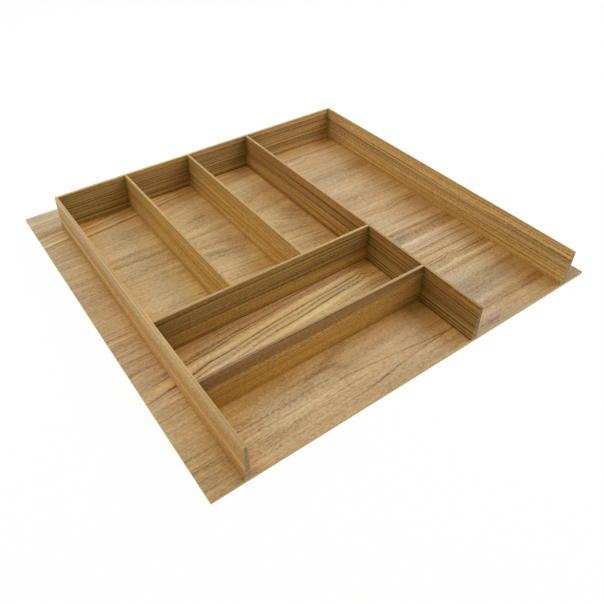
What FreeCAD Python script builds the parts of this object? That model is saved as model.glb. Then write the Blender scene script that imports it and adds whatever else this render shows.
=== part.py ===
import FreeCAD, Part
import os
from collections import namedtuple

# A drawer tray: a thin veneered base panel that carries eight wedge-section strips, each a solid core with
# one veneer wrapped over its two faces and its top. The frame has +X along the front edge to the right, +Y to
# the back and +Z up, with the origin at the centre of the underside.

# Driving dimensions in millimetres
DIMENSIONS = {
    # the base panel, from the top down
    "base_width": 500.0,
    "base_depth": 494.0,
    "base_face_veneer": 0.5,
    "base_core_thickness": 2.0,
    "base_backing": 0.8,
    # the rim of base outside the walls, up to the foot of each wall
    "side_rim": 33.4,
    "back_rim": 45.8,
    # the section that all strips share, over its veneer
    "wall_height": 46.0,
    "wall_top_thickness": 3.0,
    "wall_foot_thickness": 7.6,
    "wall_veneer": 0.5,
    # the clear spaces between the strips, at the floor
    "cutlery_bay_width": 83.4,
    "long_bay_width": 142.0,
    "front_bay_depth": 78.0,
    "middle_bay_depth": 83.4,
    # the tongue under each strip, which sits in a groove of the base
    "tongue_width": 3.0,
    "tongue_depth": 1.5,
    "tongue_setback": 12.0,
    # the stub tenon on a divider's end, which sits in a mortise and stops short of that wall's middle
    "tenon_thickness": 2.0,
    "tenon_height": 20.0,
    "tenon_rise": 6.0,
    "tenon_stop": 1.0,
    # the brads, driven up through the base
    "brad_diameter": 1.2,
    "brad_length": 16.0,
    "brad_head_diameter": 2.4,
    "brad_head_height": 0.5,
    "brad_head_recess": 0.2,
    # room for glue round tongues, tenons and brads, and how far a cut runs past a face
    "glue_gap": 0.1,
    "cut_overrun": 1.0,
}

# Brads along a strip, as shares of its length
LONG_STRIP_BRAD_SHARES = (0.10, 0.37, 0.63, 0.90)
SHORT_STRIP_BRAD_SHARES = (0.12, 0.50, 0.88)

doc = FreeCAD.newDocument("cutlery_tray")
sheet = doc.addObject("Spreadsheet::Sheet", "dims")
for row, (alias, value) in enumerate(DIMENSIONS.items(), start=1):
    sheet.set(f"A{row}", alias)
    sheet.set(f"B{row}", str(value))
    sheet.setAlias(f"B{row}", alias)
doc.recompute()

# Levels, as expressions on the sheet
BASE_CORE_LEVEL = "dims.base_backing"
BASE_FACE_LEVEL = "(dims.base_backing + dims.base_core_thickness)"
FLOOR = "(dims.base_backing + dims.base_core_thickness + dims.base_face_veneer)"

# Half thicknesses of a strip: over the veneer at foot and crest, level with the core's top, and of the core
FOOT = "(dims.wall_foot_thickness / 2)"
CREST = "(dims.wall_top_thickness / 2)"
CORE_HEIGHT = "(dims.wall_height - dims.wall_veneer)"
SHOULDER = f"({CREST} + ({FOOT} - {CREST}) * dims.wall_veneer / dims.wall_height)"
CORE_FOOT = f"({FOOT} - dims.wall_veneer)"
CORE_CREST = f"({SHOULDER} - dims.wall_veneer)"

# The base's left and front edges, and the centre planes of the strips
LEFT_EDGE = "(-dims.base_width / 2)"
FRONT = "(-dims.base_depth / 2)"
LEFT = f"({LEFT_EDGE} + dims.side_rim + {FOOT})"
RIGHT = f"(dims.base_width / 2 - dims.side_rim - {FOOT})"
BACK = f"(dims.base_depth / 2 - dims.back_rim - {FOOT})"
LONG = f"({RIGHT} - dims.long_bay_width - dims.wall_foot_thickness)"
CROSS_FRONT = f"({FRONT} + dims.front_bay_depth + {FOOT})"
CROSS_REAR = f"({CROSS_FRONT} + dims.middle_bay_depth + dims.wall_foot_thickness)"
SHORT_LEFT = f"({LEFT} + dims.cutlery_bay_width + dims.wall_foot_thickness)"
SHORT_RIGHT = f"({SHORT_LEFT} + dims.cutlery_bay_width + dims.wall_foot_thickness)"

# How a strip ends: square at an edge, butted on a sloping wall face, or mitred round a corner. The number says
# how many half thicknesses of the other strip it passes that strip's centre plane by.
SQUARE, BUTT, MITRE = 0, -1, 1
End = namedtuple("End", "kind place wall")
Strip = namedtuple("Strip", "label runs centre start end brad_shares")

STRIPS = [
    Strip("left_wall", "y", LEFT, End(SQUARE, FRONT, None), End(MITRE, BACK, "back_wall"),
          LONG_STRIP_BRAD_SHARES),
    Strip("right_wall", "y", RIGHT, End(SQUARE, FRONT, None), End(MITRE, BACK, "back_wall"),
          LONG_STRIP_BRAD_SHARES),
    Strip("back_wall", "x", BACK, End(MITRE, LEFT, "left_wall"), End(MITRE, RIGHT, "right_wall"),
          LONG_STRIP_BRAD_SHARES),
    Strip("long_divider", "y", LONG, End(SQUARE, FRONT, None), End(BUTT, BACK, "back_wall"),
          LONG_STRIP_BRAD_SHARES),
    Strip("front_cross_divider", "x", CROSS_FRONT, End(BUTT, LEFT, "left_wall"),
          End(BUTT, LONG, "long_divider"), SHORT_STRIP_BRAD_SHARES),
    Strip("rear_cross_divider", "x", CROSS_REAR, End(BUTT, LEFT, "left_wall"),
          End(BUTT, LONG, "long_divider"), SHORT_STRIP_BRAD_SHARES),
    Strip("left_short_divider", "y", SHORT_LEFT, End(BUTT, CROSS_REAR, "rear_cross_divider"),
          End(BUTT, BACK, "back_wall"), SHORT_STRIP_BRAD_SHARES),
    Strip("right_short_divider", "y", SHORT_RIGHT, End(BUTT, CROSS_REAR, "rear_cross_divider"),
          End(BUTT, BACK, "back_wall"), SHORT_STRIP_BRAD_SHARES),
]

# A wedge is drawn with its height along its own Y and its length along its own X; these stand it up
STANDING = {
    "x": FreeCAD.Rotation(FreeCAD.Vector(1, 0, 0), 90),
    "y": FreeCAD.Rotation(FreeCAD.Vector(1, 1, 1), 120),
}


def bind(obj, **expressions):
    """Binds properties of an object to expressions on the sheet."""
    for name, expression in expressions.items():
        obj.setExpression(name, expression)
    return obj


def place(obj, x, y, z):
    """Binds an object's position to expressions on the sheet."""
    for axis, expression in zip("xyz", (x, y, z)):
        obj.setExpression(f"Placement.Base.{axis}", expression)
    return obj


def box(name, low, size):
    """A box from its lowest corner and its three sizes."""
    obj = doc.addObject("Part::Box", name)
    bind(obj, Length=size[0], Width=size[1], Height=size[2])
    return place(obj, *low)


def cylinder(name, x, y, z, diameter, height):
    """An upright cylinder from the centre of its lower face."""
    obj = doc.addObject("Part::Cylinder", name)
    bind(obj, Radius=f"({diameter}) / 2", Height=height)
    return place(obj, x, y, z)


def joined(name, objects):
    """Several solids made one."""
    obj = doc.addObject("Part::MultiFuse", name)
    obj.Shapes = objects
    obj.Refine = True
    return obj


def group(name, objects):
    """Several solids kept apart in one object."""
    obj = doc.addObject("Part::Compound", name)
    obj.Links = objects
    return obj


def cut(name, base, tools):
    """A solid with other solids taken out of it."""
    obj = doc.addObject("Part::Cut", name)
    obj.Base = base
    obj.Tool = group(f"{name}_tools", tools)
    return obj


def strip_box(strip, name, run_low, run_high, width, z, height):
    """A box that runs along a strip, centred on the strip's centre plane."""
    across = f"{strip.centre} - ({width}) / 2"
    length = f"({run_high}) - ({run_low})"
    if strip.runs == "x":
        return box(name, (run_low, across, z), (length, width, height))
    return box(name, (across, run_low, z), (width, length, height))


def strip_wedge(strip, name, foot, crest, height, meets_foot, meets_crest):
    """The strip's wedge. foot and crest are half thicknesses, meets_foot and meets_crest those of the strips
    at its ends."""
    obj = doc.addObject("Part::Wedge", name)
    reach = {}
    for end in (strip.start, strip.end):
        outward = end.kind if end is strip.end else -end.kind
        reach[end] = tuple(f"{end.place} + {outward} * {half}" for half in (meets_foot[end.kind],
                                                                            meets_crest[end.kind]))
    bind(obj, Xmin=reach[strip.start][0], X2min=reach[strip.start][1],
         Xmax=reach[strip.end][0], X2max=reach[strip.end][1],
         Ymin="0", Ymax=height,
         Zmin=f"-{foot}", Zmax=foot, Z2min=f"-{crest}", Z2max=crest)
    obj.Placement = FreeCAD.Placement(FreeCAD.Vector(), STANDING[strip.runs])
    if strip.runs == "x":
        return place(obj, "0", strip.centre, FLOOR)
    return place(obj, strip.centre, "0", FLOOR)


def mitre_tool(name, corner_x, quarter_turns):
    """A box whose one side stands in the 45 degree plane of a back corner, on the side to take away. It turns
    by an eighth and so many quarters of a turn."""
    angle = 45 + 90 * quarter_turns
    reach = "dims.wall_foot_thickness"
    side_x, side_y = {0: (-1, -1), 1: (1, -1), 2: (1, 1), 3: (-1, 1)}[quarter_turns % 4]
    tool = doc.addObject("Part::Box", name)
    bind(tool, Length=f"2 * sqrt(2) * {reach}", Width=f"sqrt(2) * {reach}",
         Height="dims.wall_height + 2 * dims.cut_overrun")
    tool.Placement = FreeCAD.Placement(FreeCAD.Vector(), FreeCAD.Rotation(FreeCAD.Vector(0, 0, 1), angle))
    return place(tool, f"{corner_x} + {side_x} * {reach}", f"{BACK} + {side_y} * {reach}",
                 f"{FLOOR} - dims.cut_overrun")


def mitred(strip, name, wedge):
    """The strip's wedge, cut at 45 degrees at each end that goes round a corner."""
    turns = {"left_wall": [(LEFT, 3)], "right_wall": [(RIGHT, 0)], "back_wall": [(LEFT, 1), (RIGHT, 2)]}
    tools = [mitre_tool(f"{name}_mitre_{number}", corner, quarter)
             for number, (corner, quarter) in enumerate(turns.get(strip.label, []), start=1)]
    return cut(name, wedge, tools) if tools else wedge


def tongue(strip, name, gap):
    """The tongue under a strip, or with a gap the groove for it."""
    return strip_box(strip, name,
                     f"{strip.start.place} + dims.tongue_setback - {gap}",
                     f"{strip.end.place} - dims.tongue_setback + {gap}",
                     f"dims.tongue_width + 2 * {gap}",
                     f"{FLOOR} - dims.tongue_depth - {gap}",
                     f"dims.tongue_depth + {gap} + dims.cut_overrun")


def tenon(strip, end, name, gap):
    """The stub tenon on a strip's end, or with a gap the mortise for it in the wall that the end meets."""
    inner, outer = "dims.wall_foot_thickness", f"(dims.tenon_stop - {gap})"
    if end is strip.end:
        run_low, run_high = f"{end.place} - {inner}", f"{end.place} - {outer}"
    else:
        run_low, run_high = f"{end.place} + {outer}", f"{end.place} + {inner}"
    return strip_box(strip, name, run_low, run_high,
                     f"dims.tenon_thickness + 2 * {gap}",
                     f"{FLOOR} + dims.tenon_rise - {gap}",
                     f"dims.tenon_height + 2 * {gap}")


def butted_ends(strip):
    """The ends of a strip that carry a tenon."""
    return [end for end in (strip.start, strip.end) if end.kind == BUTT]


def mortises_in(label, name):
    """The mortises that a wall holds for the strips that butt on it."""
    return [tenon(strip, end, f"{name}_for_{strip.label}", "dims.glue_gap")
            for strip in STRIPS for end in butted_ends(strip) if end.wall == label]


def brad(name, x, y, gap):
    """One brad with its head just inside the underside, or with a gap the hole for it."""
    head_low = "dims.brad_head_recess" if gap == "0" else "-dims.cut_overrun"
    head_top = "(dims.brad_head_recess + dims.brad_head_height)"
    head = cylinder(f"{name}_head", x, y, head_low, f"dims.brad_head_diameter + 2 * {gap}",
                    f"{head_top} - ({head_low})")
    shank = cylinder(f"{name}_shank", x, y, "dims.brad_head_recess", f"dims.brad_diameter + 2 * {gap}",
                     f"dims.brad_length + {gap}")
    return joined(name, [head, shank])


def strip_brads(strip, prefix, gap):
    """The brads under one strip, or the holes for them."""
    brads = []
    for number, share in enumerate(strip.brad_shares, start=1):
        along = f"{strip.start.place} + ({strip.end.place} - {strip.start.place}) * {share}"
        x, y = (along, strip.centre) if strip.runs == "x" else (strip.centre, along)
        brads.append(brad(f"{prefix}_{strip.label}_{number}", x, y, gap))
    return brads


def strip_core(strip):
    """The core of a strip, with its tongue and tenons, its mortises and its brad holes."""
    name = f"{strip.label}_core"
    wedge = strip_wedge(strip, f"{name}_wedge", CORE_FOOT, CORE_CREST, CORE_HEIGHT,
                        {SQUARE: "0", BUTT: FOOT, MITRE: CORE_FOOT},
                        {SQUARE: "0", BUTT: SHOULDER, MITRE: CORE_CREST})
    body = mitred(strip, f"{name}_mitred", wedge)
    solids = [body, tongue(strip, f"{name}_tongue", "0")]
    for number, end in enumerate(butted_ends(strip), start=1):
        solids.append(tenon(strip, end, f"{name}_tenon_{number}", "0"))
    solid = joined(f"{name}_solid", solids)
    holes = strip_brads(strip, f"{name}_hole", "dims.glue_gap")
    return cut(name, solid, holes + mortises_in(strip.label, f"{name}_mortise"))


def strip_veneer(strip):
    """The veneer over a strip's two faces and its top, with its mortises."""
    name = f"{strip.label}_veneer"
    outer = strip_wedge(strip, f"{name}_outer", FOOT, CREST, "dims.wall_height",
                        {SQUARE: "0", BUTT: FOOT, MITRE: FOOT},
                        {SQUARE: "0", BUTT: CREST, MITRE: CREST})
    inner = strip_wedge(strip, f"{name}_inner", CORE_FOOT, CORE_CREST, CORE_HEIGHT,
                        {SQUARE: "0", BUTT: FOOT, MITRE: CORE_FOOT},
                        {SQUARE: "0", BUTT: SHOULDER, MITRE: CORE_CREST})
    body = mitred(strip, f"{name}_mitred", outer)
    hollow = mitred(strip, f"{name}_hollow", inner)
    return cut(name, body, [hollow] + mortises_in(strip.label, f"{name}_mortise"))


def base_layer(name, level, thickness):
    """One full sheet of the base panel."""
    return box(name, (LEFT_EDGE, FRONT, level),
               ("dims.base_width", "dims.base_depth", thickness))


def base_nodes():
    """The three sheets of the base, with the grooves for the tongues and the holes for the brads."""
    grooves = {name: [tongue(strip, f"{name}_groove_{strip.label}", "dims.glue_gap") for strip in STRIPS]
               for name in ("base_core", "base_face_veneer")}
    holes = {name: [hole for strip in STRIPS for hole in strip_brads(strip, f"{name}_hole", "dims.glue_gap")]
             for name in ("base_core", "base_backing_veneer")}
    core = base_layer("base_core_sheet", BASE_CORE_LEVEL, "dims.base_core_thickness")
    face = base_layer("base_face_sheet", BASE_FACE_LEVEL, "dims.base_face_veneer")
    backing = base_layer("base_backing_sheet", "0", "dims.base_backing")
    return [cut("base_core", core, grooves["base_core"] + holes["base_core"]),
            cut("base_face_veneer", face, grooves["base_face_veneer"]),
            cut("base_backing_veneer", backing, holes["base_backing_veneer"])]


nodes = base_nodes()
for strip in STRIPS:
    nodes.append(strip_core(strip))
    nodes.append(strip_veneer(strip))
brads = [one for strip in STRIPS for one in strip_brads(strip, "brad", "0")]
nodes.append(group("base_brads", brads))
doc.recompute()

for obj in doc.Objects:
    if "Invalid" in obj.State or "Error" in obj.State:
        raise RuntimeError(f"{obj.Label} failed: {obj.State}")
for node in nodes:
    expected = len(brads) if node.Label == "base_brads" else 1
    if node.Shape.isNull() or not node.Shape.isValid() or len(node.Shape.Solids) != expected:
        raise RuntimeError(f"{node.Label} has no sound solid")

os.makedirs("parts", exist_ok=True)
for node in nodes:
    node.Shape.exportStep(f"parts/{node.Label}.step")
    print(f"{node.Label}: {len(node.Shape.Solids)} solid, {node.Shape.Volume:.1f} mm3")
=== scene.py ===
import math
from collections import namedtuple

import bpy
from mathutils import Matrix, Vector


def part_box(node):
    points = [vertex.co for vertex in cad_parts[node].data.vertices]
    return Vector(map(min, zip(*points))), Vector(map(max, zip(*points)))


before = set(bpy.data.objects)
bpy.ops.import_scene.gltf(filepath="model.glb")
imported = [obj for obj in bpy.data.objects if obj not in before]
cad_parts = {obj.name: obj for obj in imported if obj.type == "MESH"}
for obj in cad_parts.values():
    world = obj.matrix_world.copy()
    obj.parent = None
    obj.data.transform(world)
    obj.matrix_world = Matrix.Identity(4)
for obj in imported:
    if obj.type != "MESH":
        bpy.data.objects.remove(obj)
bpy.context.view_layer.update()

# Camera: place in metres, angles in degrees, lens in millimetres on Blender's 36 mm sensor
CAMERA_PLACE = (-0.3299, -0.4871, 0.4510)
CAMERA_AZIMUTH = -35.72
CAMERA_ELEVATION = 42.89
CAMERA_ROLL = -0.13
CAMERA_LENS = 35.14
SENSOR_WIDTH = 36.0

# Light: a warm even surround and large soft daylight lamps on the right, behind and low on the left
SURROUND_STRENGTH = 0.45
SURROUND_COLOUR = (1.0, 0.87, 0.68, 1.0)
SURROUND_GLOW = 1.0
LAMP_COLOUR = (0.82, 0.91, 1.0)
LAMP_DISTANCE = 2.0
LAMP_SIZE = 1.2
Lamp = namedtuple("Lamp", "name azimuth elevation power")
LAMPS = [
    Lamp("right_lamp", 105.0, 45.0, 23.0),
    Lamp("back_lamp", -15.0, 62.0, 16.0),
    Lamp("left_lamp", -75.0, 20.0, 10.0),
]

# Stage: size and drop below the tray in metres, its grey, and how far it shows as plain white to the eye
STAGE_SIZE = 40.0
STAGE_DROP = 0.0002
STAGE_GREY = 0.92
STAGE_GLOW = 0.94

# Arrises of the veneer, rubbed round with fine paper
ARRIS_WIDTH = 0.0002
ARRIS_STEPS = 2
ARRIS_ANGLE = math.radians(40.0)

# A tint that changes nothing
NO_TINT = (1.0, 1.0, 1.0, 1.0)

# Painted shade in the corners, by how shut in a point is, from shut in to open: a wide warm one and a thin
# dark one in the joints
CREVICE_SAMPLES = 8
CREVICE_REACH = 0.05
CREVICE_SHADE_TONES = [
    (0.40, (0.99, 0.76, 0.38, 1.0)),
    (0.90, NO_TINT),
]
JOINT_REACH = 0.006
JOINT_SHADE_TONES = [
    (0.48, (0.84, 0.82, 0.72, 1.0)),
    (0.70, (0.98, 0.98, 0.96, 1.0)),
    (0.85, NO_TINT),
]
# The strips' corners take a painted shade, deeper and greener, but hardly so along the foot
FOOT_REACH = 0.016
FOOT_SHARE = 0.20
STRIP_CORNER_REACH = 0.016
STRIP_CORNER_SHADE_TONES = [
    (0.42, (0.58, 0.72, 0.47, 1.0)),
    (0.62, (0.87, 0.94, 0.82, 1.0)),
    (0.85, NO_TINT),
]
# How far in from an outer edge the finish is worn
WEAR_REACH = 0.0010

FLOOR_LOW, FLOOR_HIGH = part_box("base_face_veneer")
CREST_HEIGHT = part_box("left_wall_veneer")[1].z
FOOT_HEIGHT = FLOOR_HIGH.z

# A noise: length of its blots down the grain and their width across it in metres, a seed, how far it swings
# what it is added to, and its own detail, roughness and twist
Noise = namedtuple("Noise", "length width seed swing detail roughness twist", defaults=(0.0, 2.0, 0.5, 0.0))
# How far apart the seeds lie in the noise's own space
SEED_STEP = (7.31, 3.17, 5.93)
# A surface: specular level, roughness, how far a noise swings the roughness, and the relief's depth in metres
Surface = namedtuple("Surface", "specular roughness mottle relief")
# Tone between dark and light
MEAN_TONE = 0.5
# How much rougher pores, the floor's worn edges and the worn crests are than the lacquer
PORE_DULLNESS = 0.10
EDGE_DULLNESS = 0.10
CREST_DULLNESS = 0.20
# A mix node's sockets for colours, which come after those for numbers and vectors
MIX_FIRST, MIX_SECOND, MIX_RESULT = 6, 7, 2


def srgb(red, green, blue):
    """A screen colour, 0 to 255, as the linear colour that a shader takes."""

    def linear(level):
        share = level / 255.0
        return share / 12.92 if share <= 0.04045 else ((share + 0.055) / 1.055) ** 2.4

    return (linear(red), linear(green), linear(blue), 1.0)


class Finish:
    """A node material, with short calls for the nodes that the finishes share."""

    def __init__(self, name, surface):
        self.material = bpy.data.materials.new(name)
        self.material.use_nodes = True
        self.nodes = self.material.node_tree.nodes
        self.links = self.material.node_tree.links
        self.surface = surface
        self.shader = self.nodes["Principled BSDF"]
        self.shader.inputs["Specular IOR Level"].default_value = surface.specular

    def put(self, value, socket):
        """Links a node's output to a socket, or writes a plain value in it."""
        if isinstance(value, bpy.types.NodeSocket):
            self.links.new(value, socket)
        else:
            socket.default_value = value

    def math(self, operation, *values):
        """One sum on plain numbers or on nodes' outputs."""
        node = self.nodes.new("ShaderNodeMath")
        node.operation = operation
        for value, socket in zip(values, node.inputs):
            self.put(value, socket)
        return node.outputs[0]

    def total(self, *values):
        """All the values added up."""
        result = values[0]
        for value in values[1:]:
            result = self.math("ADD", result, value)
        return result

    def swing(self, value, amount):
        """A noise from 0 to 1 turned into one about zero, as large as amount each way."""
        return self.math("MULTIPLY_ADD", value, 2.0 * amount, -amount)

    def place(self):
        """X, Y and Z of the point in metres, in the part's frame."""
        coordinates = self.nodes.new("ShaderNodeTexCoord")
        parts = self.nodes.new("ShaderNodeSeparateXYZ")
        self.links.new(coordinates.outputs["Object"], parts.inputs[0])
        return parts.outputs

    def vector(self, x, y, z):
        """Three numbers as one vector."""
        node = self.nodes.new("ShaderNodeCombineXYZ")
        for value, socket in zip((x, y, z), node.inputs):
            self.put(value, socket)
        return node.outputs[0]

    def blots(self, grain, noise, seed=0):
        """A noise from 0 to 1. The seed is added to the noise's own one."""
        stretched = self.nodes.new("ShaderNodeVectorMath")
        stretched.operation = "MULTIPLY_ADD"
        self.put(grain, stretched.inputs[0])
        stretched.inputs[1].default_value = (1.0 / noise.length, 1.0 / noise.width, 1.0 / noise.width)
        stretched.inputs[2].default_value = [(noise.seed + seed) * step for step in SEED_STEP]
        texture = self.nodes.new("ShaderNodeTexNoise")
        self.put(stretched.outputs[0], texture.inputs["Vector"])
        texture.inputs["Scale"].default_value = 1.0
        texture.inputs["Detail"].default_value = noise.detail
        texture.inputs["Roughness"].default_value = noise.roughness
        texture.inputs["Distortion"].default_value = noise.twist
        return texture.outputs[0]

    def swung(self, grain, noise, seed=0):
        """A noise about zero, as large as its swing each way."""
        return self.swing(self.blots(grain, noise, seed), noise.swing)

    def span(self, value, low, high, to_low=0.0, to_high=1.0, smooth=False):
        """The stretch from low to high laid over another stretch, and level beyond its ends."""
        node = self.nodes.new("ShaderNodeMapRange")
        node.interpolation_type = "SMOOTHSTEP" if smooth else "LINEAR"
        self.put(value, node.inputs["Value"])
        self.put(low, node.inputs["From Min"])
        self.put(high, node.inputs["From Max"])
        self.put(to_low, node.inputs["To Min"])
        self.put(to_high, node.inputs["To Max"])
        return node.outputs[0]

    def course(self, value, points):
        """A number that runs straight from point to point and stays level beyond the last ones."""
        result = points[0][1]
        for (start, first), (end, last) in zip(points, points[1:]):
            result = self.math("ADD", self.span(value, start, end, 0.0, last - first), result)
        return result

    def line(self, value, place, half_width, tone):
        """A soft line where the value is at the place, as strong as the tone in its middle."""
        off = self.math("ABSOLUTE", self.math("SUBTRACT", value, place))
        return self.span(off, 0.0, half_width, tone, 0.0, smooth=True)

    def ramp(self, value, stops):
        """A colour ramp. Each stop is a place from 0 to 1 and a colour or a grey."""
        node = self.nodes.new("ShaderNodeValToRGB")
        ramp = node.color_ramp
        ramp.interpolation = "LINEAR"
        while len(ramp.elements) < len(stops):
            ramp.elements.new(1.0)
        for element, (place, colour) in zip(ramp.elements, stops):
            element.position = place
            element.color = colour if isinstance(colour, tuple) else (colour, colour, colour, 1.0)
        self.put(value, node.inputs[0])
        return node.outputs[0]

    def mix(self, share, first, second):
        """A blend of two colours, which has the given share of the second one."""
        node = self.nodes.new("ShaderNodeMix")
        node.data_type = "RGBA"
        self.put(share, node.inputs["Factor"])
        self.put(first, node.inputs[MIX_FIRST])
        self.put(second, node.inputs[MIX_SECOND])
        return node.outputs[MIX_RESULT]

    def times(self, colour, by):
        """A colour made darker or lighter by a colour or a number."""
        node = self.nodes.new("ShaderNodeVectorMath")
        node.operation = "MULTIPLY"
        self.put(colour, node.inputs[0])
        self.put(by, node.inputs[1])
        return node.outputs[0]

    def corners(self, reach, tones):
        """Painted shade: the deeper tone where a point is shut in, in the corners."""
        node = self.nodes.new("ShaderNodeAmbientOcclusion")
        node.samples = CREVICE_SAMPLES
        node.inputs["Distance"].default_value = reach
        return self.ramp(node.outputs["AO"], tones)

    def finish(self, colour, mottle, height, *duller):
        """Wires the shader: colour, a relief, and the surface's roughness with a mottle and duller places."""
        self.put(colour, self.shader.inputs["Base Color"])
        mottled = self.swing(mottle, self.surface.mottle)
        roughness = self.total(self.surface.roughness, mottled, *duller)
        self.put(roughness, self.shader.inputs["Roughness"])
        bump = self.nodes.new("ShaderNodeBump")
        bump.inputs["Distance"].default_value = self.surface.relief
        self.put(height, bump.inputs["Height"])
        self.links.new(bump.outputs[0], self.shader.inputs["Normal"])
        return self.material


FLOOR_SURFACE = Surface(specular=0.25, roughness=0.46, mottle=0.10, relief=0.00005)
# Noises that shift the figure, in metres
FLOOR_DRIFT = Noise(0.30, 0.06, 1, swing=0.0035, detail=1.0)
FLOOR_RIPPLE = Noise(0.045, 0.015, 2, swing=0.0018, detail=1.0)
# Noises of the tone: soft plumes, streaks and fibres down the grain, and specks
FLOOR_CLOUD = Noise(0.14, 0.05, 3, swing=0.20, twist=0.5)
FLOOR_WAVE = Noise(0.11, 0.0085, 16, swing=0.18, detail=1.0)
FLOOR_BAND = Noise(0.80, 0.0060, 6, swing=0.30, detail=1.0)
FLOOR_STREAK = Noise(0.35, 0.0021, 7, swing=0.40, roughness=0.6)
FLOOR_FIBRE = Noise(0.11, 0.0013, 8, swing=0.25, roughness=0.7)
FLOOR_SPECK = Noise(0.0035, 0.0014, 9, swing=0.43, roughness=0.7)
# The wave is weaker to the right of the long divider
WAVE_FROM, WAVE_TO = 0.05, 0.09
WAVE_RIGHT_SHARE = 0.3
# Pores and flecks: where their noise starts to show and where it shows in full, and their tone
FLOOR_PORE = Noise(0.009, 0.0007, 10, detail=1.0)
FLOOR_PORE_RANGE = (0.60, 0.72)
FLOOR_PORE_TONE = -0.08
FLOOR_PORE_DEPTH = -1.0
FLOOR_FLECK = Noise(0.009, 0.0026, 4, detail=1.0)
FLOOR_FLECK_RANGE = (0.54, 0.68)
FLOOR_FLECK_TONE = -0.08
# Where the flecks gather
FLOOR_GATHER = Noise(0.10, 0.035, 13, detail=1.0)
FLOOR_GATHER_RANGE = (0.48, 0.62)
# The lines fade in and out along their run: range of the noise, and the lines' strength at its ends
FLOOR_FADING = Noise(0.035, 0.006, 5, detail=1.0)
FLOOR_FADING_RANGE = (0.30, 0.62)
FLOOR_FADING_SHARES = (0.55, 1.10)
# How strongly the floor's veneer is streaked, by share of its depth from the front
FLOOR_STREAK_SHARES = [
    (0.00, 0.24),
    (0.14, 0.24),
    (0.20, 0.80),
    (0.26, 1.00),
    (0.36, 1.00),
    (0.44, 0.55),
    (0.60, 0.40),
    (0.76, 0.45),
    (0.86, 0.70),
    (1.00, 0.80),
]
FLOOR_TONES = [
    (0.00, srgb(92, 66, 38)),
    (0.25, srgb(146, 110, 66)),
    (0.52, srgb(188, 154, 110)),
    (0.76, srgb(210, 178, 131)),
    (1.00, srgb(230, 199, 148)),
]
# Warm and pale patches over the floor's tones
FLOOR_BLUSHING = Noise(0.12, 0.06, 11, twist=0.5)
FLOOR_BLUSH = [
    (0.36, (1.06, 1.08, 1.12, 1.0)),
    (0.50, NO_TINT),
    (0.64, (0.97, 0.91, 0.82, 1.0)),
]
# Greyer and more golden flows down the grain, darker where they are golden and fuller at the right
FLOOR_FLOW = Noise(0.20, 0.010, 15, swing=-0.24)
FLOOR_FLOWS = [
    (0.34, (0.98, 1.01, 1.09, 1.0)),
    (0.50, NO_TINT),
    (0.66, (1.02, 0.96, 0.81, 1.0)),
]
FLOW_FROM, FLOW_TO = 0.090, 0.180
FLOW_LEFT_SHARE = 0.25
# The floor's figure, laid out in metres. Its lines run across the tray and shift as they go.
# A sweep: how steeply the lines shift, by depth, and how far along the shift has come, by width
Sweep = namedtuple("Sweep", "steepness run")
FLOOR_SWEEPS = [
    # lines of the middle bay, which climb to the right up to a crest
    Sweep(
        [(-0.200, 0.0), (-0.125, 0.11), (-0.062, 0.0)],
        [(-0.250, 0.260), (0.036, 0.0), (0.060, 0.012), (0.107, 0.0)],
    ),
    # flame of the rear bays, which opens to the right
    Sweep(
        [(-0.040, 0.0), (0.035, 0.20), (0.115, -0.20), (0.190, 0.0)],
        [(-0.100, 0.0), (0.058, 0.158), (0.107, 0.0)],
    ),
    # lines at the back left, which climb to the right and start afresh on the rim
    Sweep(
        [(0.120, 0.0), (0.165, -0.12), (0.194, -0.12), (0.201, 0.0)],
        [(-0.250, -0.040), (-0.216, -0.006), (-0.210, -0.110), (-0.040, 0.060)],
    ),
]
# A hook: where a line springs up or dips, how far, and how far along it takes hold
Hook = namedtuple("Hook", "x y rise reach")
FLOOR_HOOKS = [
    Hook(0.036, -0.097, 0.0025, 0.012),
    Hook(0.145, 0.158, 0.007, 0.014),
    Hook(0.152, -0.010, -0.007, 0.030),
    Hook(0.147, -0.134, 0.006, 0.018),
]
HOOK_SPREAD = 0.018
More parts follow.
